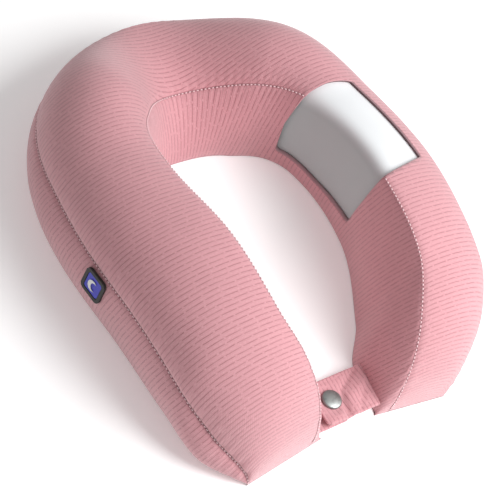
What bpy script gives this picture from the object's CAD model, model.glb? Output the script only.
"""U-shaped neck pillow: a foam core in a ribbed pink knit cover, with a cut-away window, a snap
strap, a rubber patch and a hidden zip.

The form is worked out in millimetres from the same driving dimensions as the part, apart from a
small tuck of the right tip, and every mesh is turned into metres when it is made.
"""

import math

import bmesh
import bpy
import numpy as np
from mathutils import Matrix, Vector


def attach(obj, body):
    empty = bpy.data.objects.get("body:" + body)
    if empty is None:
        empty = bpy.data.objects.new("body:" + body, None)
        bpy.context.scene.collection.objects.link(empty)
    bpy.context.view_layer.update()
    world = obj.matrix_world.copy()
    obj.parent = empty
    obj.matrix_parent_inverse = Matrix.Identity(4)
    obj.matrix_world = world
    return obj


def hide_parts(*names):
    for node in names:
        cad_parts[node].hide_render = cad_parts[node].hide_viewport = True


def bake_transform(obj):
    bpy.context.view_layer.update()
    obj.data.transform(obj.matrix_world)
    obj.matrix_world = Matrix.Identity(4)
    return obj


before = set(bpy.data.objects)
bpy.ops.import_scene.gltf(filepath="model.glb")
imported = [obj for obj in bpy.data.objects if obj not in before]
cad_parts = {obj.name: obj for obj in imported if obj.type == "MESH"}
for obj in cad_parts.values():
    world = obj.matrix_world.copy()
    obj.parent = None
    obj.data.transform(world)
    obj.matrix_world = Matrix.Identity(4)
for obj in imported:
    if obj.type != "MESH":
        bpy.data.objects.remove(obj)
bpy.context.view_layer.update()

MM = 0.001

# ---------------------------------------------------------------- driving dimensions

STATIONS = {
    "headingDeg": [0, 38, 82, 100, 99, 98, 97],
    "innerSeamHeight": [38, 63, 80, 93, 101, 104.5, 108],
    "outerSeamHeight": [46, 36, 47, 54, 55, 48, 37],
    "innerSeamOffset": [14, 23, 25, 23, 18, 23.5, 30],
    "outerSeamOffset": [42, 42, 36, 42, 45, 37, 18],
    "innerBaseOffset": [43, 36, 14, 8, 25, 41, 39.5],
    "outerBaseOffset": [35, 31, 25, 28, 32, 32, 16],
    "crown": [12, 24, 7, 3, 3, 9, 20],
    "shoulder": [0.9, 0.95, 0.84, 0.82, 0.73, 0.81, 0.95],
    "outerBulge": [4, 4, 9, 6, 8, 13, 12],
    "innerBulge": [3, 3, 3, 3, 3, 3, 3],
}
STATION_AT = np.array([0, 0.2, 0.4, 0.6, 0.8, 0.9, 1])
HALF_LENGTH = 318
TIP_START = 0.55
TIP_WIDTH = 1.12
TIP_ROUNDNESS = 2.1
CLOTH = 1.6
GAP = 0.3
# The top's curve, as parts of its width and of the crown's height.
CROWN_REACH = 0.45
CROWN_RISE = 1.33
CROWN_AT_SHOULDER = 0.6
# The right tip is a little rounder than the left: its outer corner is drawn in by this much.
FAR_TIP_TUCK = 8
TUCK_FROM = 0.88

ZIP_Y = 98
ZIP_HALF = 60
SLOT_HALF = (67, 13)
POCKET_DEPTH = 10.5
STRAP_Y = -129
STRAP_WIDTH = 30

# Panels of the section, by their first t: inner wall, top, outer wall, base.
INNER_WALL, TOP, OUTER_WALL, BASE = 0, 1, 2, 3

# ---------------------------------------------------------------- the pillow's form


def along_arm(values, level=True):
    """Monotone cubic curve through the stations, level at the middle of the back."""
    values = np.array(values, float)
    slope = np.diff(values) / np.diff(STATION_AT)
    product = slope[:-1] * slope[1:]
    total = np.where(product > 0, slope[:-1] + slope[1:], 1)
    middle = np.where(product > 0, 2 * product / total, 0)
    tangent = np.concatenate([[0 if level else slope[0]], middle, [slope[-1]]])

    def at(u):
        i = np.clip(np.searchsorted(STATION_AT, u, side="left") - 1, 0, len(values) - 2)
        span = STATION_AT[i + 1] - STATION_AT[i]
        k = (u - STATION_AT[i]) / span
        rise = k * k * (3 - 2 * k)
        start = k * (1 - k) ** 2 * span * tangent[i]
        end = k * k * (k - 1) * span * tangent[i + 1]
        return values[i] * (1 - rise) + values[i + 1] * rise + start + end

    return at


PROPERTY = {name: along_arm(values, name != "headingDeg") for name, values in STATIONS.items()}

STEPS = 400
_heading = np.radians(PROPERTY["headingDeg"]((np.arange(STEPS) + 0.5) / STEPS))
_step = HALF_LENGTH / STEPS
CENTRE_X = np.concatenate([[0], np.cumsum(np.cos(_heading))]) * _step
CENTRE_Y = -np.concatenate([[0], np.cumsum(np.sin(_heading))]) * _step
CENTRE_Y = CENTRE_Y - (CENTRE_Y[-1] + STATIONS["outerSeamOffset"][0]) / 2
CENTRE_U = np.linspace(0, 1, STEPS + 1)


def bezier(k, a, b, c, d):
    m = 1 - k
    return m**3 * a + 3 * m * m * k * b + 3 * m * k * k * c + k**3 * d


def surface(s, t, inset=0.0):
    """Point of the pillow's surface, `inset` mm under the outside, as an array of xyz in mm.
    s runs from -1, the left tip, to 1, the right. t runs round the section from 0 to 4."""
    s, t = np.broadcast_arrays(np.asarray(s, float), np.asarray(t, float))
    u = np.clip(np.abs(s), 0, 1)
    tip = np.clip((u - TIP_START) / (1 - TIP_START), 0, 1)
    round_off = np.maximum(1 - tip**TIP_ROUNDNESS, 0) ** (1 / TIP_ROUNDNESS)
    narrow = TIP_WIDTH + (1 - TIP_WIDTH) * round_off
    at = {name: curve(u) for name, curve in PROPERTY.items()}
    inner = at["innerSeamOffset"] * narrow - inset
    outer = at["outerSeamOffset"] * narrow - inset
    inner_base = at["innerBaseOffset"] * narrow - inset
    outer_base = at["outerBaseOffset"] * narrow - inset
    inner_top = (at["innerSeamHeight"] - 2 * inset) * round_off
    outer_top = (at["outerSeamHeight"] - 2 * inset) * round_off
    crown = at["crown"] * round_off
    part = np.clip(np.floor(t), 0, 3)
    k = t - part

    shoulder = outer_top + at["shoulder"] * (inner_top - outer_top) + CROWN_AT_SHOULDER * crown
    wall_q = -inner_base * (1 - k) - inner * k
    wall_q = wall_q - 4 * at["innerBulge"] * round_off * k * (1 - k)
    top_q = bezier(k, -inner, -inner + CROWN_REACH * (outer + inner), outer, outer)
    top_z = bezier(k, inner_top, inner_top + CROWN_RISE * crown, shoulder, outer_top)
    outer_q = outer * (1 - k) + outer_base * k
    outer_q = outer_q + 4 * at["outerBulge"] * round_off * k * (1 - k)
    base_q = outer_base * (1 - k) - inner_base * k
    q = np.choose(part.astype(int), [wall_q, top_q, outer_q, base_q])
    tuck = FAR_TIP_TUCK * np.clip((s - TUCK_FROM) / (1 - TUCK_FROM), 0, 1) ** 2
    q = q - tuck * np.clip(q / outer, 0, 1)
    z = np.choose(part.astype(int), [inner_top * k, top_z, outer_top * (1 - k), 0 * k])

    heading = np.radians(at["headingDeg"])
    back = inset * u
    x = np.interp(u, CENTRE_U, CENTRE_X) + q * np.sin(heading) - back * np.cos(heading)
    y = np.interp(u, CENTRE_U, CENTRE_Y) + q * np.cos(heading) + back * np.sin(heading)
    return np.stack([np.where(s < 0, -x, x), y, z + inset], axis=-1)


def outward(s, t):
    """Unit normal of the outside, blended over a seam."""
    ds, dt = 0.002, 0.015
    ahead = np.minimum(s + ds, 0.999)
    behind = np.maximum(s - ds, -0.999)
    run = surface(ahead, t) - surface(behind, t)
    across = surface(np.clip(s, -0.999, 0.999), (t + dt) % 4)
    across = across - surface(np.clip(s, -0.999, 0.999), (t - dt) % 4)
    normal = np.cross(across, run)
    length = np.linalg.norm(normal, axis=-1, keepdims=True)
    return -normal / np.maximum(length, 1e-9)


# Lengths on the surface: of each panel across the section, and along the pillow at a given t.
_u = np.linspace(0, 1, 61)


def _panel_width(first):
    points = surface(_u[:, None], np.linspace(first, first + 0.9999, 41)[None, :])
    return np.linalg.norm(np.diff(points, axis=1), axis=-1).sum(axis=1)


PANEL_WIDTH = [_panel_width(first) for first in range(4)]
_s = np.linspace(-1, 1, 1601)


def length_along(t):
    """Signed mm from the middle of the back, along the surface at t, for each s in _s."""
    points = surface(_s, np.full_like(_s, t))
    run = np.concatenate([[0], np.cumsum(np.linalg.norm(np.diff(points, axis=0), axis=-1))])
    return run - run[len(run) // 2]


RUN_AT = {t: length_along(t) for t in (0.5, 1.0, 2.0, 2.5)}


WAVES = 7


def plane_waves(points, wavelength, seed):
    """Smooth unevenness from -1 to 1, made of a few waves in fixed random directions."""
    rng = np.random.default_rng(seed)
    total = np.zeros(points.shape[:-1])
    for _ in range(WAVES):
        direction = rng.normal(size=3)
        direction = direction / np.linalg.norm(direction)
        scale = 2 * math.pi / (wavelength * rng.uniform(0.7, 1.5))
        total = total + np.sin(points @ direction * scale + rng.uniform(0, 2 * math.pi))
    return total / WAVES


def to_seam(s, t):
    """(mm to the nearest long seam of the cover, the t of that seam)."""
    part = np.clip(np.floor(t), 0, 3).astype(int)
    width = np.choose(part, [np.interp(np.abs(s), _u, w) for w in PANEL_WIDTH])
    k = t - part
    return np.minimum(k, 1 - k) * width, part + (k > 0.5)


SEAM_DEPTH = 0.8
PUFF = 0.8
PUCKER = 0.22
PUCKER_PITCH = 8.5


def lift(s, t):
    """How far the knit stands proud of the form, in mm: padded between seams, pulled in at them."""
    near, seam = to_seam(s, t)
    point = surface(s, t)
    run = np.interp(s, _s, RUN_AT[2.0])
    on_base = t >= BASE
    sewn = np.where(np.isin(seam, (1, 2)), 1.0, 0.4)
    tipward = np.clip((np.abs(s) - 0.8) / 0.2, 0, 1)
    phase = run / PUCKER_PITCH + 0.5 * plane_waves(point, 60, 3)
    pucker = PUCKER * (1 + 2.2 * tipward) * np.sin(2 * math.pi * phase)
    pucker = pucker * np.exp(-near / 6) * (1 - np.exp(-near / 1.2)) * sewn
    body = PUFF * (1 - np.exp(-near / 7)) - SEAM_DEPTH * sewn * np.exp(-((near / 1.7) ** 2))
    soft = 0.55 * plane_waves(point, 75, 5) + 0.12 * plane_waves(point, 18, 6)
    total = body + pucker + soft * (1 - np.exp(-near / 9))
    end = np.clip((1 - np.abs(s)) / 0.01, 0, 1)
    return np.where(on_base, -0.3, total) * end


def cover_point(s, t):
    return surface(s, t) + outward(s, t) * lift(s, t)[..., None]


# ---------------------------------------------------------------- meshes


def tip_stations(count):
    """Places along an arm's tip, closer together towards its end."""
    angle = np.radians(np.linspace(0, 90, count + 1)[1:])
    return TIP_START + (1 - TIP_START) * np.sin(angle)


def stations(straight, tip):
    """Places from tip to tip: `straight` of them on each half before its tip, `tip` on the tip."""
    half = np.concatenate([np.linspace(0, TIP_START, straight + 1)[1:], tip_stations(tip)])
    return np.concatenate([-half[::-1], [0], half])


def new_object(name, points, faces):
    """A smooth-shaded object from points in mm."""
    mesh = bpy.data.meshes.new(name)
    places = (np.asarray(points, float) * MM).tolist()
    mesh.from_pydata(places, [], [list(map(int, f)) for f in faces])
    mesh.polygons.foreach_set("use_smooth", [True] * len(mesh.polygons))
    obj = bpy.data.objects.new(name, mesh)
    bpy.context.scene.collection.objects.link(obj)
    return obj


def set_attribute(obj, name, kind, values):
    attribute = obj.data.attributes.new(name, kind, "POINT")
    field = "vector" if kind == "FLOAT_VECTOR" else "value"
    attribute.data.foreach_set(field, np.asarray(values, np.float32).ravel())


def merge(obj):
    """Merges doubled points, so that a grid closes where its lines meet."""
    bm = bmesh.new()
    bm.from_mesh(obj.data)
    bmesh.ops.remove_doubles(bm, verts=bm.verts, dist=0.02 * MM)
    bmesh.ops.dissolve_degenerate(bm, edges=bm.edges, dist=0.002 * MM)
    bm.to_mesh(obj.data)
    bm.free()


def grid_faces(rows, columns):
    i, j = np.meshgrid(np.arange(rows - 1), np.arange(columns - 1), indexing="ij")
    a = (i * columns + j).ravel()
    return np.stack([a, a + columns, a + columns + 1, a + 1], axis=1)


def shell(name, outer, inner, faces, attributes, rim_slot=0):
    """A closed sheet from its outer and inner points, with a rim round every open edge."""
    count = len(outer)
    edges = {}
    for face in faces:
        for a, b in zip(face, np.roll(face, -1)):
            key = (min(a, b), max(a, b))
            edges[key] = None if key in edges else (a, b)
    rims = [(b, a, a + count, b + count) for a, b in filter(None, edges.values())]
    every = [tuple(f) for f in faces] + [tuple(f[::-1] + count) for f in faces] + rims
    used = np.unique(np.concatenate([np.array(faces).ravel(), np.array(faces).ravel() + count]))
    renumber = np.full(2 * count, -1)
    renumber[used] = np.arange(len(used))
    points = np.concatenate([outer, inner])[used]
    obj = new_object(name, points, [[renumber[v] for v in f] for f in every])
    for key, kind, values in attributes:
        set_attribute(obj, key, kind, np.concatenate([values, values])[used])
    slots = np.zeros(len(every), int)
    slots[len(every) - len(rims):] = rim_slot
    obj.data.polygons.foreach_set("material_index", slots)
    return obj


def recalc(obj):
    """Turns every face of a closed piece outward."""
    bm = bmesh.new()
    bm.from_mesh(obj.data)
    bmesh.ops.recalc_face_normals(bm, faces=bm.faces)
    bm.to_mesh(obj.data)
    bm.free()


# ---------------------------------------------------------------- materials


class Nodes:
    """Short names for building a node tree."""

    def __init__(self, name):
        self.material = bpy.data.materials.new(name)
        self.material.use_nodes = True
        self.tree = self.material.node_tree
        self.tree.nodes.clear()
        self.output = self.tree.nodes.new("ShaderNodeOutputMaterial")
        self.shader = self.tree.nodes.new("ShaderNodeBsdfPrincipled")
        self.link(self.shader.outputs[0], self.output.inputs["Surface"])

    def link(self, a, b):
        self.tree.links.new(a, b)

    def feed(self, socket, value):
        if isinstance(value, bpy.types.NodeSocket):
            self.link(value, socket)
        else:
            socket.default_value = value

    def math(self, operation, a, b=0.0):
        node = self.tree.nodes.new("ShaderNodeMath")
        node.operation = operation
        for socket, value in zip(node.inputs, (a, b)):
            self.feed(socket, value)
        return node.outputs[0]

    def ramp(self, value, low, high, to_low=0.0, to_high=1.0):
        node = self.tree.nodes.new("ShaderNodeMapRange")
        node.interpolation_type = "SMOOTHSTEP"
        for name, item in zip(("Value", "From Min", "From Max", "To Min", "To Max"),
                              (value, low, high, to_low, to_high)):
            self.feed(node.inputs[name], item)
        return node.outputs[0]

    def mix(self, factor, a, b):
        node = self.tree.nodes.new("ShaderNodeMix")
        node.data_type = "RGBA"
        self.feed(node.inputs[0], factor)
        self.feed(node.inputs[6], a)
        self.feed(node.inputs[7], b)
        return node.outputs[2]

    def attribute(self, name, output="Vector"):
        node = self.tree.nodes.new("ShaderNodeAttribute")
        node.attribute_name = name
        return node.outputs[output]

    def separate(self, vector):
        node = self.tree.nodes.new("ShaderNodeSeparateXYZ")
        self.link(vector, node.inputs[0])
        return node.outputs

    def combine(self, x, y):
        node = self.tree.nodes.new("ShaderNodeCombineXYZ")
        for socket, value in zip(node.inputs, (x, y)):
            self.feed(socket, value)
        return node.outputs[0]

    def noise(self, vector, scale, detail=2.0, roughness=0.5):
        node = self.tree.nodes.new("ShaderNodeTexNoise")
        self.link(vector, node.inputs["Vector"])
        node.inputs["Scale"].default_value = scale
        node.inputs["Detail"].default_value = detail
        node.inputs["Roughness"].default_value = roughness
        return node.outputs["Fac"]

    def random(self, value):
        node = self.tree.nodes.new("ShaderNodeTexWhiteNoise")
        node.noise_dimensions = "1D"
        self.feed(node.inputs["W"], value)
        return node.outputs["Value"]

    def position(self):
        return self.tree.nodes.new("ShaderNodeTexCoord").outputs["Object"]

    def normal(self):
        return self.tree.nodes.new("ShaderNodeTexCoord").outputs["Normal"]

    def bump(self, height, distance, strength=1.0):
        node = self.tree.nodes.new("ShaderNodeBump")
        node.inputs["Strength"].default_value = strength
        node.inputs["Distance"].default_value = distance
        self.link(height, node.inputs["Height"])
        self.link(node.outputs[0], self.shader.inputs["Normal"])

    def set(self, **values):
        for name, value in values.items():
            self.feed(self.shader.inputs[name.replace("_", " ")], value)


def rgb(r, g, b):
    """sRGB from 0 to 255, as a linear colour."""
    def linear(v):
        v = v / 255
        return v / 12.92 if v <= 0.04045 else ((v + 0.055) / 1.055) ** 2.4
    return (linear(r), linear(g), linear(b), 1)


# The knit's pattern in mm: between stripes, along a stripe's dashes, and between rows of stitches.
STRIPE_PITCH = 3.0
DASH_PITCH = 11.0
COURSE_PITCH = 1.1
PINK = rgb(203, 142, 149)
PINK_DARK = rgb(134, 72, 80)
PINK_LIGHT = rgb(226, 184, 188)
SEAM_SHADE = rgb(120, 58, 68)
STRIPE_STRENGTH = 0.62


def knit_material():
    """Pinstriped knit. The mesh's "grain" gives mm across and along the stripes, and "seam" the
    mm to the nearest seam."""
    n = Nodes("pinstripe_knit")
    grain = n.separate(n.attribute("grain"))
    across, along = grain[0], grain[1]
    place = n.combine(across, along)
    wander = n.math("MULTIPLY", n.math("SUBTRACT", n.noise(place, 0.08), 0.5), 0.9)
    column = n.math("DIVIDE", n.math("ADD", across, wander), STRIPE_PITCH)
    row = n.math("ROUND", column)
    off = n.math("MULTIPLY", n.math("ABSOLUTE", n.math("SUBTRACT", column, row)), STRIPE_PITCH)
    line = n.ramp(off, 0.10, 0.36, 1.0, 0.0)
    # Long dashes, each row shifted by its own amount.
    dash = n.math("FRACT", n.math("ADD", n.math("DIVIDE", along, DASH_PITCH), n.random(row)))
    gap = n.ramp(n.math("ABSOLUTE", n.math("SUBTRACT", dash, 0.5)), 0.42, 0.47, 1.0, 0.0)
    faint = n.ramp(n.noise(place, 0.12, 3.0), 0.3, 0.7, 0.65, 1.0)
    line = n.math("MULTIPLY", n.math("MULTIPLY", line, gap), faint)
    # A fainter rib halfway between two stripes, and rows of stitches across.
    rib = n.math("COSINE", n.math("MULTIPLY", column, 4 * math.pi))
    stitch = n.math("SINE", n.math("MULTIPLY", along, 2 * math.pi / COURSE_PITCH))
    fuzz = n.noise(place, 2.2, 4.0, 0.7)
    heather = n.noise(n.combine(across, n.math("MULTIPLY", along, 0.45)), 1.5, 3.0, 0.7)
    patchy = n.noise(place, 0.05, 3.0)
    colour = n.mix(n.ramp(patchy, 0.25, 0.75), (*[c * 0.95 for c in PINK[:3]], 1), PINK)
    colour = n.mix(n.math("MULTIPLY", n.ramp(fuzz, 0.35, 0.75), 0.30), colour, PINK_LIGHT)
    colour = n.mix(n.math("MULTIPLY", n.ramp(heather, 0.5, 0.7), 0.28), colour, PINK_LIGHT)
    colour = n.mix(n.math("MULTIPLY", n.ramp(heather, 0.5, 0.3), 0.08), colour, PINK_DARK)
    colour = n.mix(n.math("MULTIPLY", n.ramp(rib, -1.0, 1.0), 0.10), colour, PINK_LIGHT)
    colour = n.mix(n.math("MULTIPLY", line, STRIPE_STRENGTH), colour, PINK_DARK)
    seam = n.attribute("seam", "Fac")
    shade = n.ramp(seam, 0.1, 1.1, 0.4, 0.0)
    colour = n.mix(shade, colour, SEAM_SHADE)
    height = n.math("MULTIPLY", line, -0.9)
    height = n.math("ADD", height, n.math("MULTIPLY", rib, 0.18))
    height = n.math("ADD", height, n.math("MULTIPLY", stitch, 0.10))
    height = n.math("ADD", height, n.math("MULTIPLY", fuzz, 0.5))
    n.bump(height, 0.00035, 0.6)
    n.set(Base_Color=colour, Roughness=n.ramp(fuzz, 0.2, 0.8, 0.78, 0.95))
    n.set(Sheen_Weight=0.5, Sheen_Roughness=0.5, Sheen_Tint=(1.0, 0.93, 0.94, 1))
    n.set(Specular_IOR_Level=0.3)
    return n.material


def cut_edge_material():
    n = Nodes("knit_cut_edge")
    fibres = n.noise(n.position(), 1800, 3.0)
    facing_up = n.ramp(n.separate(n.normal())[2], -0.05, 0.35)
    inside = n.mix(fibres, rgb(96, 66, 70), rgb(128, 96, 100))
    n.set(Base_Color=n.mix(facing_up, inside, rgb(188, 152, 157)))
    n.set(Roughness=n.ramp(fibres, 0.2, 0.8, 0.85, 0.98))
    n.bump(fibres, 0.0003)
    return n.material


def foam_material():
    n = Nodes("memory_foam")
    pores = n.noise(n.position(), 1500, 3.0)
    tone = n.noise(n.position(), 18, 2.0)
    upright = n.ramp(n.separate(n.normal())[2], 0.0, 0.92, 1.0, 0.0)
    pale = n.mix(tone, rgb(230, 232, 234), rgb(238, 239, 241))
    n.set(Base_Color=n.mix(n.math("MULTIPLY", upright, 0.75), pale, rgb(150, 168, 166)))
    n.set(Roughness=n.ramp(pores, 0.2, 0.8, 0.45, 0.6), Specular_IOR_Level=0.35)
    n.bump(pores, 0.00006, 0.5)
    return n.material


def thread_material(name, light, dark):
    n = Nodes(name)
    twist = n.noise(n.position(), 2500, 2.0)
    n.set(Base_Color=n.mix(twist, dark, light), Roughness=n.ramp(twist, 0.2, 0.8, 0.55, 0.8))
    n.set(Sheen_Weight=0.3)
    n.bump(twist, 0.0001)
    return n.material


def metal_material():
    n = Nodes("satin_nickel")
    place = n.position()
    stretched = n.combine(n.separate(place)[0], n.math("MULTIPLY", n.separate(place)[1], 12.0))
    brushed = n.noise(stretched, 900, 3.0)
    worn = n.noise(place, 260, 4.0)
    n.set(Base_Color=n.mix(n.ramp(worn, 0.45, 0.75), rgb(158, 162, 160), rgb(132, 136, 134)))
    n.set(Metallic=0.9, Roughness=n.ramp(brushed, 0.2, 0.8, 0.36, 0.5))
    n.bump(brushed, 0.00003, 0.5)
    return n.material


def rubber_material(name, light, dark, gloss=0.45):
    n = Nodes(name)
    grain = n.noise(n.position(), 1600, 4.0, 0.65)
    n.set(Base_Color=n.mix(n.ramp(grain, 0.3, 0.7), dark, light))
    n.set(Roughness=n.ramp(grain, 0.2, 0.8, gloss, gloss + 0.2))
    n.bump(grain, 0.00008)
    return n.material


# Pitch of the zip tape's weave, in metres.
TAPE_WARP = 0.0007
TAPE_WEFT = 0.0009


def tape_material():
    n = Nodes("zip_tape_weave")
    axes = n.separate(n.position())
    warp = n.math("SINE", n.math("MULTIPLY", axes[1], 2 * math.pi / TAPE_WARP))
    weft = n.math("SINE", n.math("MULTIPLY", axes[0], 2 * math.pi / TAPE_WEFT))
    weave = n.math("MULTIPLY", warp, weft)
    n.set(Base_Color=n.mix(n.ramp(weave, -1.0, 1.0), rgb(176, 112, 121), rgb(208, 148, 156)))
    n.set(Roughness=n.ramp(weave, -1.0, 1.0, 0.95, 0.8), Sheen_Weight=0.2)
    n.bump(weave, 0.0001)
    return n.material


KNIT = knit_material()
CUT_EDGE = cut_edge_material()
FOAM = foam_material()
THREAD = thread_material("seam_thread", rgb(250, 226, 228), rgb(226, 184, 189))
NICKEL = metal_material()
BLACK = rubber_material("black_rubber", rgb(46, 46, 42), rgb(26, 26, 24))
BLUE = rubber_material("blue_rubber", rgb(78, 80, 200), rgb(60, 60, 165))
WHITE = rubber_material("white_rubber", rgb(238, 238, 234), rgb(215, 215, 210))
TAPE = tape_material()
COIL = rubber_material("nylon_coil", rgb(190, 126, 135), rgb(168, 104, 114), 0.3)

# ---------------------------------------------------------------- cut-away window and zip slot

# Corners of the window as (place along the arm, t), and how far each corner is rounded, in mm.
WINDOW = [
    ((0.338, 0.205), 5.0),
    ((0.470, 0.205), 0.0),
    ((0.606, 0.290), 5.0),
    ((0.622, 0.68), 0.0),
    ((0.632, 1.00), 0.0),
    ((0.612, 1.22), 0.0),
    ((0.590, 1.43), 1.2),
    ((0.375, 1.42), 1.2),
    ((0.350, 1.20), 0.0),
    ((0.333, 1.00), 0.0),
    ((0.324, 0.62), 0.0),
]
# mm of surface per unit of t at the window, on the top and on the inner wall.
TOP_SCALE = 104
WALL_SCALE = 82
ARC_POINTS = 9


def flat_place(s, t):
    """(s, t) laid out flat in mm, so that distances round the window are about true."""
    return np.stack([s * HALF_LENGTH, (t - 1) * np.where(t > 1, TOP_SCALE, WALL_SCALE)], axis=-1)


def rounded_outline(corners):
    """Points round the outline, with an arc in each corner."""
    places = [flat_place(np.array(c[0]), np.array(c[1])) for c, _ in corners]
    outline = []
    for i, (_, radius) in enumerate(corners):
        here = places[i]
        before = places[i - 1] - here
        after = places[(i + 1) % len(places)] - here
        before = before / np.linalg.norm(before)
        after = after / np.linalg.norm(after)
        if radius == 0:
            outline.append(here)
            continue
        half = math.acos(np.clip(before @ after, -1, 1)) / 2
        reach = radius / math.tan(half)
        for k in np.linspace(0, 1, ARC_POINTS):
            start, end = here + before * reach, here + after * reach
            outline.append((1 - k) ** 2 * start + 2 * k * (1 - k) * here + k**2 * end)
    return np.array(outline)


def nearest_on(outline, points):
    """(signed distance, negative inside, and nearest point) of each flat point."""
    a = outline
    b = np.roll(outline, -1, axis=0)
    edge = b - a
    relative = points[:, None, :] - a[None]
    k = np.clip((relative * edge).sum(-1) / (edge**2).sum(-1), 0, 1)
    foot = a[None] + k[..., None] * edge[None]
    distance = np.linalg.norm(points[:, None, :] - foot, axis=-1)
    best = distance.argmin(axis=1)
    rows = np.arange(len(points))
    straddles = (a[None, :, 1] > points[:, None, 1]) != (b[None, :, 1] > points[:, None, 1])
    rise = np.where(edge[:, 1] == 0, 1e-9, edge[:, 1])
    crossing = a[None, :, 0] + (points[:, None, 1] - a[None, :, 1]) / rise * edge[None, :, 0]
    inside = (straddles & (points[:, None, 0] < crossing)).sum(axis=1) % 2 == 1
    return np.where(inside, -1, 1) * distance[rows, best], foot[rows, best]


WINDOW_OUTLINE = rounded_outline(WINDOW)
WINDOW_SEAM = [s * HALF_LENGTH for (s, t), _ in WINDOW if t == 1]


def open_window(s, t, faces):
    """Leaves out the faces inside the window and moves the points round it onto its outline."""
    flat = flat_place(s, t)
    centres = flat[faces].mean(axis=1)
    distance, _ = nearest_on(WINDOW_OUTLINE, centres)
    gone = np.isin(np.arange(len(s)), faces[distance < 0])
    kept = faces[distance >= 0]
    edge = gone & np.isin(np.arange(len(s)), kept)
    on_seam = edge & (t == 1)
    _, foot = nearest_on(WINDOW_OUTLINE, flat[edge])
    flat[edge] = foot
    seam_x = flat_place(s, t)[on_seam][:, 0]
    ends = np.array(WINDOW_SEAM)
    flat[on_seam, 0] = ends[np.abs(seam_x[:, None] - ends[None]).argmin(axis=1)]
    flat[on_seam, 1] = 0
    moved_t = 1 + flat[:, 1] / np.where(flat[:, 1] > 0, TOP_SCALE, WALL_SCALE)
    return np.where(edge, flat[:, 0] / HALF_LENGTH, s), np.where(edge, moved_t, t), kept


def open_slot(s, t, faces):
    """(the base's faces outside the zip's slot, which points lie round the slot)."""
    points = surface(s, t)
    centres = points[faces].mean(axis=1)
    half = np.array(SLOT_HALF)
    inside = (np.abs(centres[:, :2] - (0, ZIP_Y)) < half).all(axis=1)
    kept = faces[~inside]
    edge = np.isin(np.arange(len(s)), faces[inside]) & np.isin(np.arange(len(s)), kept)
    return kept, edge


# ---------------------------------------------------------------- cover and core

ALONG = stations(170, 90)
ACROSS = {INNER_WALL: 62, TOP: 88, OUTER_WALL: 44, BASE: 56}
# mm that the walls' stripes lean to the tips for each mm of height.
LEAN = {INNER_WALL: 0.24, OUTER_WALL: 0.15}
TIP_FROM = 0.75


def over_tip(s, t):
    """How many mm longer the way along the surface is than its run in Y, beyond TIP_FROM."""
    extra = np.zeros_like(s)
    along = np.linspace(TIP_FROM, 1, 300)
    beyond = np.abs(s) > TIP_FROM
    for value in np.unique(t[beyond]):
        line = surface(along, np.full_like(along, value))
        steps = np.linalg.norm(np.diff(line, axis=0), axis=1)
        surplus = np.concatenate([[0], np.cumsum(steps)]) + line[:, 1] - line[0, 1]
        here = beyond & (t == value)
        extra[here] = np.interp(np.abs(s[here]), along, surplus)
    return extra


def grain_of(first, s, t, point):
    """mm across and along the stripes. On the top and base they follow the frame's X, and on the
    walls they stand up, leaning to the tips."""
    if first in (TOP, BASE):
        across = point[:, 1] - (over_tip(s, t) if first == TOP else 0)
        return np.stack([across, point[:, 0], np.zeros_like(s)], axis=1)
    run = np.interp(s, _s, RUN_AT[first + 0.5])
    height = point[:, 2]
    lean = LEAN[first] * np.clip((np.abs(s) - 0.3) / 0.3, 0, 1) * np.sign(s)
    return np.stack([run - lean * height, height, np.zeros_like(s)], axis=1)


def square_to_slot(points, edge):
    """Moves the points round the zip's slot onto its straight edges."""
    offset = points[edge][:, :2] - (0, ZIP_Y)
    half = np.array(SLOT_HALF)
    side = (np.abs(offset) / half).argmax(axis=1)
    rows = np.arange(len(offset))
    offset[rows, side] = np.sign(offset[rows, side]) * half[side]
    points[edge, :2] = offset + (0, ZIP_Y)


def cover_panel(name, first, cad_node):
    across = np.linspace(first, first + 1, ACROSS[first] + 1)
    s, t = (v.ravel() for v in np.meshgrid(ALONG, across, indexing="ij"))
    faces = grid_faces(len(ALONG), len(across))
    if first in (INNER_WALL, TOP):
        s, t, faces = open_window(s, t, faces)
    # The end of a panel belongs to it, so t stays just under the next panel's first value.
    t_in = np.minimum(t, first + 1 - 1e-6)
    outer = cover_point(s, t_in)
    inner = surface(s, t_in, CLOTH)
    if first == BASE:
        faces, edge = open_slot(s, t_in, faces)
        square_to_slot(outer, edge)
        square_to_slot(inner, edge)
    grain = grain_of(first, s, t_in, outer)
    near, _ = to_seam(s, t_in)
    # The base's edges get no dark line: its distances start past the reach of the shading.
    seam = near + 2 if first == BASE else near
    obj = shell(name, outer, inner, faces,
                [("grain", "FLOAT_VECTOR", grain), ("seam", "FLOAT", seam)], rim_slot=1)
    merge(obj)
    recalc(obj)
    obj.data.materials.append(KNIT)
    obj.data.materials.append(CUT_EDGE)
    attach(obj, "root")
    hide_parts(cad_node)
    return obj


# How far the foam's edges are rounded off, in t, and how far its hollow passes the zip's slot.
FOAM_ROUNDING = 0.12
POCKET_MARGIN = 6


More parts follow.
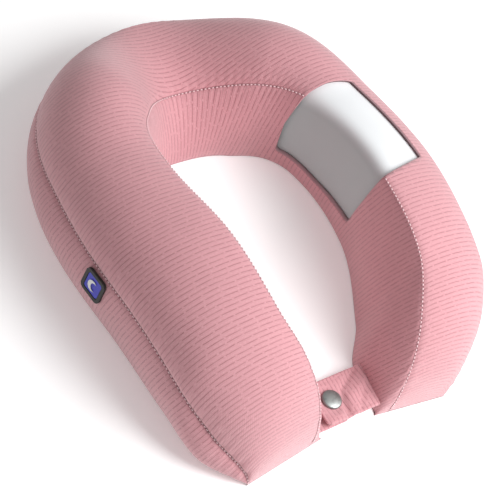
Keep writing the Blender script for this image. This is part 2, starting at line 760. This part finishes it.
def make_foam():
    """The core, with its edges rounded off and a hollow for the zip."""
    depth = CLOTH + GAP
    along = stations(110, 40)
    across = np.linspace(0, 4, 193)[:-1]
    s, t = (v.ravel() for v in np.meshgrid(along, across, indexing="ij"))
    spread = np.linspace(-FOAM_ROUNDING, FOAM_ROUNDING, 13)
    points = sum(surface(s, (t + d) % 4, depth) for d in spread) / len(spread)
    points[:, 2] = np.where(t > BASE, depth, np.maximum(points[:, 2], depth))
    within = np.abs(points[:, :2] - (0, ZIP_Y)) < np.array(SLOT_HALF) + POCKET_MARGIN
    hollow = within.all(axis=1) & (points[:, 2] < POCKET_DEPTH)
    points[hollow, 2] = POCKET_DEPTH
    rows, columns = len(along), len(across)
    i, j = np.meshgrid(np.arange(rows - 1), np.arange(columns), indexing="ij")
    a = (i * columns + j).ravel()
    b = (i * columns + (j + 1) % columns).ravel()
    faces = [tuple(f) for f in np.stack([a, b, b + columns, a + columns], axis=1)]
    faces += [tuple(range(columns)), tuple(range((rows - 1) * columns, rows * columns))[::-1]]
    obj = new_object("foam_core_soft", points, faces)
    recalc(obj)
    obj.data.materials.append(FOAM)
    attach(obj, "root")
    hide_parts("foam_core")


STITCH_PITCH = 2.6
STITCH_LENGTH = 1.6
THREAD_RADIUS = 0.42
THREAD_SIDES = 6


def thread_rings():
    """A short thread along X as rings of (x, radius), with rounded ends."""
    half, radius = STITCH_LENGTH / 2, THREAD_RADIUS
    end, shoulder = (half, 0.25 * radius), (half - 0.6 * radius, 0.9 * radius)
    return [(-end[0], end[1]), (-shoulder[0], shoulder[1]), (0, radius), shoulder, end]


def make_stitches(name, seam_t, skip=None):
    """A row of thread stitches lying in one of the cover's long seams, with none inside `skip`."""
    run = RUN_AT[seam_t]
    reach = int(min(-run[0], run[-1]) / STITCH_PITCH) - 1
    places = np.interp(np.arange(-reach, reach + 1) * STITCH_PITCH, run, _s)
    if skip is not None:
        places = places[(places < skip[0]) | (places > skip[1])]
    rings, sides = thread_rings(), THREAD_SIDES
    angles = np.arange(sides) * 2 * math.pi / sides
    t = np.full_like(places, seam_t)
    middle = cover_point(places, t)
    normal = outward(places, t)
    ahead = cover_point(places + 0.002, t) - cover_point(places - 0.002, t)
    ahead = ahead / np.linalg.norm(ahead, axis=1, keepdims=True)
    side = np.cross(normal, ahead)
    middle = middle + normal * THREAD_RADIUS * 0.9
    points = []
    for x, r in rings:
        for angle in angles:
            spoke = side * math.cos(angle) + normal * math.sin(angle)
            points.append(middle + ahead * x + spoke * r)
    points = np.stack(points, axis=1)
    per = len(rings) * sides
    faces = []
    for ring in range(len(rings) - 1):
        for j in range(sides):
            k = (j + 1) % sides
            a, b = ring * sides, (ring + 1) * sides
            faces.append((a + j, a + k, b + k, b + j))
    faces.append(tuple(range(sides))[::-1])
    faces.append(tuple(range(per - sides, per)))
    every = [tuple(v + n * per for v in f) for n in range(len(places)) for f in faces]
    obj = new_object(name, points.reshape(-1, 3), every)
    recalc(obj)
    obj.data.materials.append(THREAD)
    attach(obj, "root")
    return obj


top = cover_panel("cover_top", TOP, "top_panel")
inner_wall = cover_panel("cover_inner_wall", INNER_WALL, "inner_wall_panel")
outer_wall = cover_panel("cover_outer_wall", OUTER_WALL, "outer_wall_panel")
base = cover_panel("cover_base", BASE, "bottom_panel")
make_foam()
# No stitches where the window cuts the inner seam.
inner_stitches = make_stitches("inner_seam_stitches", 1.0, skip=(0.331, 0.634))
outer_stitches = make_stitches("outer_seam_stitches", 2.0)

# ---------------------------------------------------------------- strap and snap

SNAP_X = -5
UPPER_Z = 7.1
LOWER_Z = 2.5
TAB_THICKNESS = 2.2
TAB_CORNER = 4
# Points of a tab's grid from root to free end, and across the strap.
TAB_GRID = (73, 49)
# From a tab's edge in mm: how far its rounding reaches, and where its stitched hem lies.
EDGE_ROUNDING = 1.3
HEM_AT = 2.6
# How far the tabs' roots reach into the arms' walls, and how much of a tab turns softly.
ROOT_DEPTH = 1.3


def wall_x(y):
    """Where the foot of the right arm's inner wall stands at this y, near the strap."""
    u = np.linspace(0.75, 1, 500)
    foot = surface(u, np.full_like(u, 0.04))
    order = np.argsort(foot[:, 1])
    return np.interp(y, foot[order, 1], foot[order, 0])


def fold(x, v, path, width):
    """A soft crease along the points of `path`, 1 on its line."""
    points = np.stack([x, v], axis=-1)
    best = np.full(x.shape, 1e9)
    for a, b in zip(path[:-1], path[1:]):
        a, b = np.array(a, float), np.array(b, float)
        k = np.clip(((points - a) @ (b - a)) / ((b - a) @ (b - a)), 0, 1)
        best = np.minimum(best, np.linalg.norm(points - a - k[..., None] * (b - a), axis=-1))
    return np.exp(-((best / width) ** 2))


def upper_height(x, v):
    """Creases of the upper tab in mm: a slanting fold from the sewn root, and a dimple at the cap."""
    height = -1.5 * fold(x, v, [(22, 13), (6, 4), (2.5, -3), (0, -16)], 2.4)
    height = height + 0.9 * fold(x, v, [(24, 4), (9, -3), (6, -15)], 3.2)
    height = height - 0.5 * fold(x, v, [(20, -3), (14, -9), (9, -16)], 1.8)
    away = np.hypot(x - SNAP_X, v)
    height = height - 0.7 * np.exp(-((away - 6) / 3.0) ** 2)
    height = height + 0.7 * fold(x, v, [(-12, -12), (-4, -12)], 3.5)
    height = height + 0.25 * np.sin(away * 0.9 + 0.5 * x) * np.exp(-away / 14)
    return height + 0.8 * np.clip((x - 6) / 20, 0, 1)


def lower_height(x, v):
    away = np.hypot(x - SNAP_X, v)
    return -0.25 * np.exp(-((away - 5) / 3.0) ** 2) + 0.2 * np.sin(0.35 * x + 0.2 * v)


def make_tab(name, side, free_x, z, height, cad_node):
    """A soft padded tab. side is 1 where it is sewn to the right arm."""
    half = STRAP_WIDTH / 2
    v = half * np.sin(np.linspace(-math.pi / 2, math.pi / 2, TAB_GRID[1]))
    k = (1 - np.cos(np.linspace(0, math.pi, TAB_GRID[0]))) / 2
    k, v = (g.ravel() for g in np.meshgrid(k, v, indexing="ij"))
    corner = np.maximum(np.abs(v) - (half - TAB_CORNER), 0)
    free = free_x + side * (TAB_CORNER - np.sqrt(TAB_CORNER**2 - corner**2))
    root = side * (wall_x(STRAP_Y + v) + ROOT_DEPTH)
    x = root * (1 - k) + free * k
    to_edge = np.minimum(half - np.abs(v), np.abs(x - free))
    bulge = np.sqrt(np.clip(1 - (1 - np.clip(to_edge / EDGE_ROUNDING, 0, 1)) ** 2, 0, 1))
    thick = TAB_THICKNESS / 2 * (0.25 + 0.75 * bulge)
    hem = 0.18 * np.exp(-(((to_edge - HEM_AT) / 0.5) ** 2))
    middle = z + height(x, v)
    outer = np.stack([x, STRAP_Y + v, middle + thick - hem], axis=1)
    inner = np.stack([x, STRAP_Y + v, middle - thick], axis=1)
    faces = grid_faces(*TAB_GRID)
    grain = np.stack([x, v, 0 * v], axis=1)
    tab = shell(name, outer, inner, faces,
                [("grain", "FLOAT_VECTOR", grain), ("seam", "FLOAT", to_edge + 0.9)])
    merge(tab)
    recalc(tab)
    tab.data.materials.append(KNIT)
    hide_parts(cad_node)
    foot = side * wall_x(STRAP_Y)
    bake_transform(tab)
    return tab


LATHE_SIDES = 72


def lathe(name, profile, centre, material, body):
    """A round piece about an upright axis, from (radius, height) pairs in mm."""
    sides = LATHE_SIDES
    angles = np.arange(sides) * 2 * math.pi / sides
    points = [(centre[0], centre[1], profile[0][1])]
    for radius, z in profile[1:]:
        for a in angles:
            points.append((centre[0] + radius * math.cos(a), centre[1] + radius * math.sin(a), z))
    faces = [(0, 1 + j, 1 + (j + 1) % sides) for j in range(sides)]
    for ring in range(len(profile) - 2):
        first = 1 + ring * sides
        for j in range(sides):
            k = (j + 1) % sides
            faces.append((first + j, first + sides + j, first + sides + k, first + k))
    faces.append(tuple(range(1 + (len(profile) - 2) * sides, len(points))))
    obj = new_object(name, points, faces)
    recalc(obj)
    obj.data.materials.append(material)
    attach(obj, body)
    return obj


upper_tab = make_tab("strap_upper", 1, -17, UPPER_Z, upper_height, "upper_strap_tab")
lower_tab = make_tab("strap_lower", -1, 3, LOWER_Z, lower_height, "lower_strap_tab")
# Radius and height of the cap's profile, from the middle of the dome round its rim.
CAP = [(0, 10.25), (2.5, 10.2), (4.4, 10.0), (5.4, 9.75), (5.9, 9.62), (6.25, 9.5), (6.55, 9.2),
       (6.75, 8.8), (6.8, 8.4), (6.7, 8.05), (6.3, 7.8)]
cap = lathe("snap_cap_dome", CAP, (SNAP_X, STRAP_Y), NICKEL, "upper_strap")
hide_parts("snap_cap")

# ---------------------------------------------------------------- patch and zip


def finish_cad(name, material, bevel):
    """A CAD node keeps its shape and gets a finished material, and edges softened by `bevel` mm."""
    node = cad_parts[name]
    for item in node.material_slots:
        item.link = "OBJECT"
        item.material = material
    modifier = node.modifiers.new("edges", "BEVEL")
    modifier.width = bevel * MM
    modifier.segments = 3
    modifier.limit_method = "ANGLE"
    modifier.angle_limit = math.radians(40)
    smooth = node.modifiers.new("shading", "WEIGHTED_NORMAL")
    smooth.keep_sharp = False


finish_cad("patch_base", BLACK, 0.35)
finish_cad("patch_inlay", BLUE, 0.15)
finish_cad("patch_emblem", WHITE, 0.08)
finish_cad("snap_socket", NICKEL, 0.3)
finish_cad("snap_stud", NICKEL, 0.3)
finish_cad("snap_post", NICKEL, 0.2)
finish_cad("zip_stop_left", NICKEL, 0.3)
finish_cad("zip_stop_right", NICKEL, 0.3)
finish_cad("zip_slider", NICKEL, 0.25)
finish_cad("zip_pull_tab", NICKEL, 0.25)

TAPE_HALF = 66
TAPE_THICKNESS = 0.8
# Points of a tape's grid along the zip and across the tape.
TAPE_GRID = (133, 25)
COIL_PITCH = 1.5
COIL_WIRE = 0.42
WIRE_SIDES = 6


def make_tape(name, side, cad_node):
    """A woven tape: flat on the inside of the base panel, then sloping in to the coil."""
    low = CLOTH + GAP + TAPE_THICKNESS / 2
    path = np.array([(3.6, 6.7), (5.5, 6.1), (7.5, 4.9), (9.5, 3.2),
                     (11.0, low + 0.1), (13.0, low), (17.3, low)])
    length = np.concatenate([[0], np.cumsum(np.linalg.norm(np.diff(path, axis=0), axis=1))])
    k = np.linspace(0, length[-1], TAPE_GRID[1])
    along = np.linspace(-TAPE_HALF, TAPE_HALF, TAPE_GRID[0])
    x, k = (g.ravel() for g in np.meshgrid(along, k, indexing="ij"))
    y = np.interp(k, length, path[:, 0])
    z = np.interp(k, length, path[:, 1]) + 0.12 * np.sin(x * 0.35) * np.exp(-((k - 8) / 4) ** 2)
    middle = np.stack([x, ZIP_Y + side * y, z], axis=1)
    up = np.array([0, 0, TAPE_THICKNESS / 2])
    tape = shell(name, middle + up, middle - up, grid_faces(*TAPE_GRID), [])
    recalc(tape)
    tape.data.materials.append(TAPE)
    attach(tape, "root")
    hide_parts(cad_node)
    return tape


def make_coil(name, side, cad_node):
    """One side of the zip: a row of nylon loops."""
    loop = [(0.75, 6.0), (1.0, 5.75), (2.4, 5.7), (3.1, 6.1),
            (3.1, 7.3), (2.4, 7.7), (1.0, 7.65), (0.75, 7.4)]
    # The two sides' loops lie between each other.
    shift = 0 if side > 0 else COIL_PITCH / 2
    places = np.arange(-ZIP_HALF + 0.8 + shift, ZIP_HALF - 0.6, COIL_PITCH)
    sides = WIRE_SIDES
    points = []
    faces = []
    angles = np.arange(sides) * 2 * math.pi / sides
    middle = np.array(loop).mean(axis=0)
    for x in places:
        first = len(points)
        for y, z in loop:
            out = np.array([y, z]) - middle
            out = out / np.linalg.norm(out)
            for a in angles:
                offset = out * math.cos(a) * COIL_WIRE
                beside = x + math.sin(a) * COIL_WIRE
                points.append((beside, ZIP_Y + side * (y + offset[0]), z + offset[1]))
        for ring in range(len(loop)):
            after = (ring + 1) % len(loop)
            for j in range(sides):
                k = (j + 1) % sides
                faces.append((first + ring * sides + j, first + ring * sides + k,
                              first + after * sides + k, first + after * sides + j))
    coil = new_object(name, points, faces)
    recalc(coil)
    coil.data.materials.append(COIL)
    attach(coil, "root")
    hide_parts(cad_node)
    return coil


for word, side in (("front", -1), ("back", 1)):
    tape = make_tape(f"zip_tape_{word}_woven", side, f"zip_tape_{word}")
    make_coil(f"zip_coil_{word}_loops", side, f"zip_coil_{word}")

# ---------------------------------------------------------------- camera, floor and light

CAMERA = {
    "azimuth": -58.72,
    "elevation": 49.645,
    "roll": 32.467,
    "distance": 1.0056,
    "target": (-0.020, -0.02845, 0.04185),
    "view_deg": 17.74,
}


def add_camera():
    azimuth, elevation, roll = (math.radians(CAMERA[k]) for k in ("azimuth", "elevation", "roll"))
    level = math.cos(elevation)
    back = Vector((math.sin(azimuth) * level, -math.cos(azimuth) * level, math.sin(elevation)))
    flat = Vector((math.cos(azimuth), math.sin(azimuth), 0))
    rise = back.cross(flat)
    right = flat * math.cos(roll) + rise * math.sin(roll)
    up = rise * math.cos(roll) - flat * math.sin(roll)
    data = bpy.data.cameras.new("camera")
    data.angle = math.radians(CAMERA["view_deg"])
    camera = bpy.data.objects.new("camera", data)
    place = Matrix((right, up, back)).transposed().to_4x4()
    place.translation = Vector(CAMERA["target"]) + back * CAMERA["distance"]
    camera.matrix_world = place
    bpy.context.scene.collection.objects.link(camera)
    bpy.context.scene.camera = camera


def add_floor():
    half = 6
    corners = [(-half, -half, 0), (half, -half, 0), (half, half, 0), (-half, half, 0)]
    mesh = bpy.data.meshes.new("floor")
    mesh.from_pydata(corners, [], [(0, 1, 2, 3)])
    floor = bpy.data.objects.new("floor", mesh)
    floor.location.z = -0.0004
    bpy.context.scene.collection.objects.link(floor)
    n = Nodes("floor_paper")
    n.set(Base_Color=(0.95, 0.95, 0.95, 1), Roughness=0.9, Specular_IOR_Level=0.1)
    n.set(Emission_Color=(1, 1, 1, 1), Emission_Strength=0.22)
    mesh.materials.append(n.material)


def add_light(name, towards, distance, size, energy):
    """A square lamp, `distance` metres from the origin in the direction `towards`, facing back."""
    data = bpy.data.lights.new(name, "AREA")
    data.size = size
    data.energy = energy
    lamp = bpy.data.objects.new(name, data)
    direction = Vector(towards).normalized()
    lamp.location = direction * distance
    lamp.rotation_euler = direction.to_track_quat("Z", "Y").to_euler()
    bpy.context.scene.collection.objects.link(lamp)


def add_world(strength):
    world = bpy.data.worlds.new("studio")
    world.use_nodes = True
    background = world.node_tree.nodes["Background"]
    background.inputs["Color"].default_value = (1, 1, 1, 1)
    background.inputs["Strength"].default_value = strength
    bpy.context.scene.world = world


add_camera()
add_floor()
add_light("key", (0.42, -0.62, 0.9), 0.95, 0.65, 11)
add_world(0.38)
bpy.context.scene.view_settings.view_transform = "Standard"
